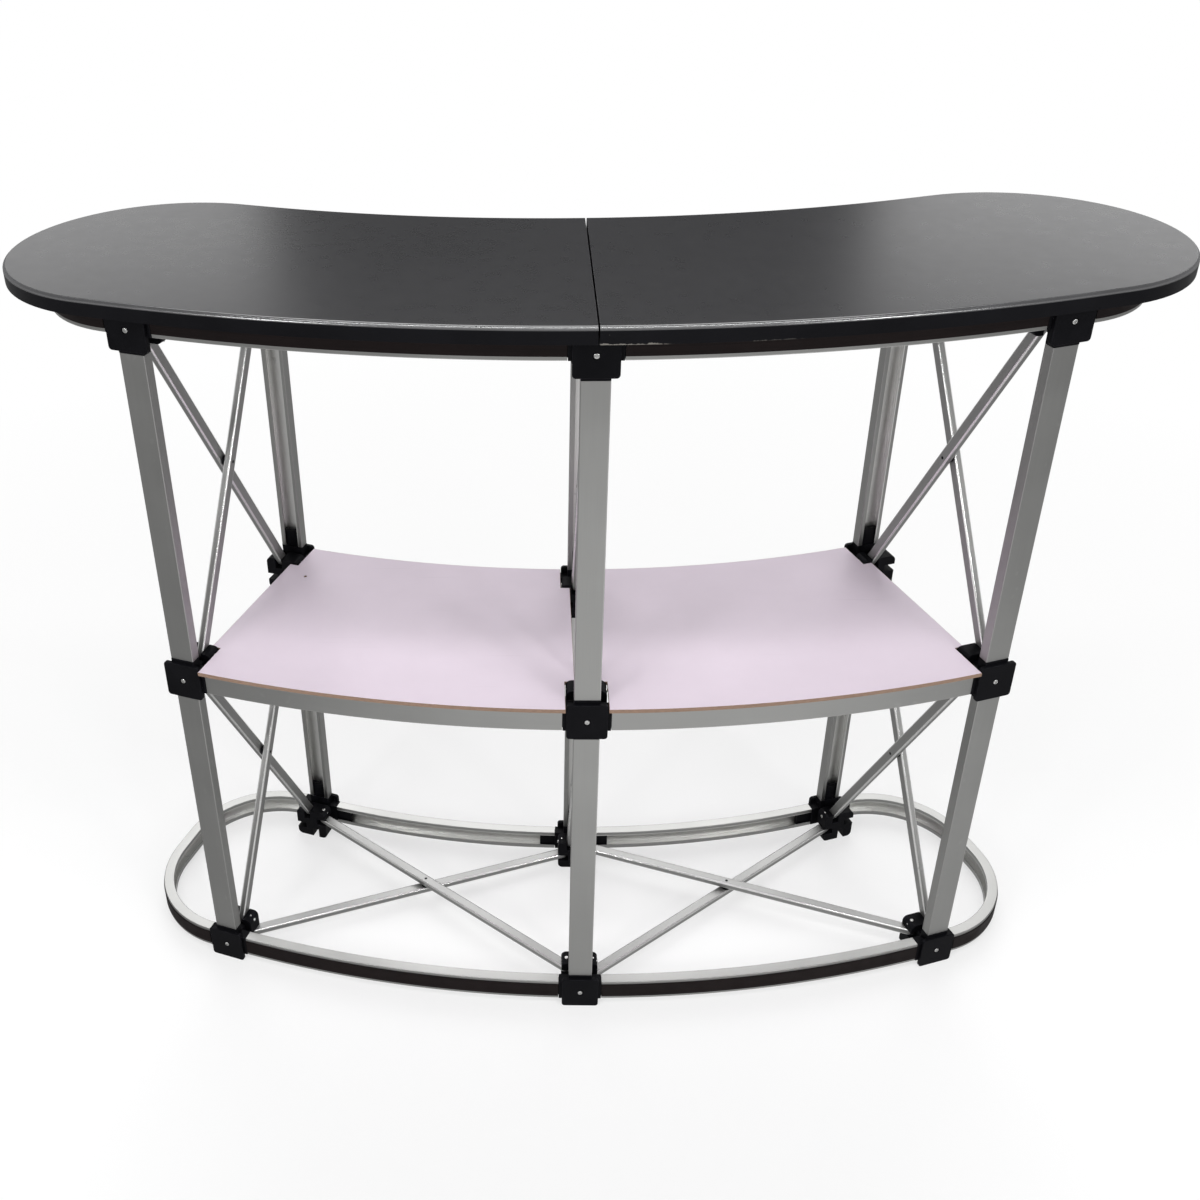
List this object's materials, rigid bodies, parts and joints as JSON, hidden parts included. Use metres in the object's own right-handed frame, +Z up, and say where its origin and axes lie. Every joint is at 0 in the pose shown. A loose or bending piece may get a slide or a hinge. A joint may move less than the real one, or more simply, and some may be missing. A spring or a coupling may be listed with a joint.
{
  "type": "exhibition counter",
  "caption": "Curved portable exhibition counter: scissor frame with moulded hubs and channel bars, split black worktop with half-round ends, and a split storage shelf.",
  "frame": {"origin": "on the floor under the middle of the overall box", "axes": "+X to the right along the counter as the public sees it, +Y towards the staff side, +Z up"},
  "size_m": [1.2658, 0.4239, 0.9453],
  "materials": {
    "black_moulding": "moulded, semi-matt",
    "satin_aluminium": "satin anodised",
    "arm_aluminium": "satin anodised",
    "worktop_black": "black laminate on fibreboard, satin",
    "shelf_pale": "pale laminate on fibreboard with a bare edge"
  },
  "bodies": {
    "frame": {"hub_front_left_bottom": "black_moulding", "hub_front_left_middle": "black_moulding", "hub_front_left_top": "black_moulding", "hub_front_centre_bottom": "black_moulding", "hub_front_centre_middle": "black_moulding", "hub_front_centre_top": "black_moulding", "hub_front_right_bottom": "black_moulding", "hub_front_right_middle": "black_moulding", "hub_front_right_top": "black_moulding", "hub_rear_left_bottom": "black_moulding", "hub_rear_left_middle": "black_moulding", "hub_rear_left_top": "black_moulding", "hub_rear_centre_bottom": "black_moulding", "hub_rear_centre_middle": "black_moulding", "hub_rear_centre_top": "black_moulding", "hub_rear_right_bottom": "black_moulding", "hub_rear_right_middle": "black_moulding", "hub_rear_right_top": "black_moulding", "upright_front_left_lower": "satin_aluminium", "upright_front_left_upper": "satin_aluminium", "upright_front_centre_lower": "satin_aluminium", "upright_front_centre_upper": "satin_aluminium", "upright_front_right_lower": "satin_aluminium", "upright_front_right_upper": "satin_aluminium", "upright_rear_left_lower": "satin_aluminium", "upright_rear_left_upper": "satin_aluminium", "upright_rear_centre_lower": "satin_aluminium", "upright_rear_centre_upper": "satin_aluminium", "upright_rear_right_lower": "satin_aluminium", "upright_rear_right_upper": "satin_aluminium", "rail_front_left_bottom": "satin_aluminium", "rail_front_left_middle": "satin_aluminium", "rail_front_left_top": "satin_aluminium", "rail_front_right_bottom": "satin_aluminium", "rail_front_right_middle": "satin_aluminium", "rail_front_right_top": "satin_aluminium", "rail_rear_left_bottom": "satin_aluminium", "rail_rear_left_middle": "satin_aluminium", "rail_rear_left_top": "satin_aluminium", "rail_rear_right_bottom": "satin_aluminium", "rail_rear_right_middle": "satin_aluminium", "rail_rear_right_top": "satin_aluminium", "rail_end_left_bottom": "satin_aluminium", "rail_end_left_top": "satin_aluminium", "rail_end_right_bottom": "satin_aluminium", "rail_end_right_top": "satin_aluminium", "scissor_left_lower": "arm_aluminium", "scissor_left_upper": "arm_aluminium", "scissor_centre_lower": "arm_aluminium", "scissor_centre_upper": "arm_aluminium", "scissor_right_lower": "arm_aluminium", "scissor_right_upper": "arm_aluminium", "scissor_base_left": "arm_aluminium", "scissor_base_right": "arm_aluminium", "scissor_top_left": "arm_aluminium", "scissor_top_right": "arm_aluminium"},
    "worktop_left": {"worktop_left": "worktop_black"},
    "worktop_right": {"worktop_right": "worktop_black"},
    "shelf_left": {"shelf_left": "shelf_pale"},
    "shelf_right": {"shelf_right": "shelf_pale"}
  },
  "joints": [
    {"name": "worktop_left_lift", "type": "slide", "parent": "frame", "child": "worktop_left", "axis": [0, 0, 1], "range_m": [0, 0.15]},
    {"name": "worktop_right_lift", "type": "slide", "parent": "frame", "child": "worktop_right", "axis": [0, 0, 1], "range_m": [0, 0.15]},
    {"name": "shelf_left_lift", "type": "slide", "parent": "frame", "child": "shelf_left", "axis": [0, 0, 1], "range_m": [0, 0.12]},
    {"name": "shelf_right_lift", "type": "slide", "parent": "frame", "child": "shelf_right", "axis": [0, 0, 1], "range_m": [0, 0.12]}
  ]
}
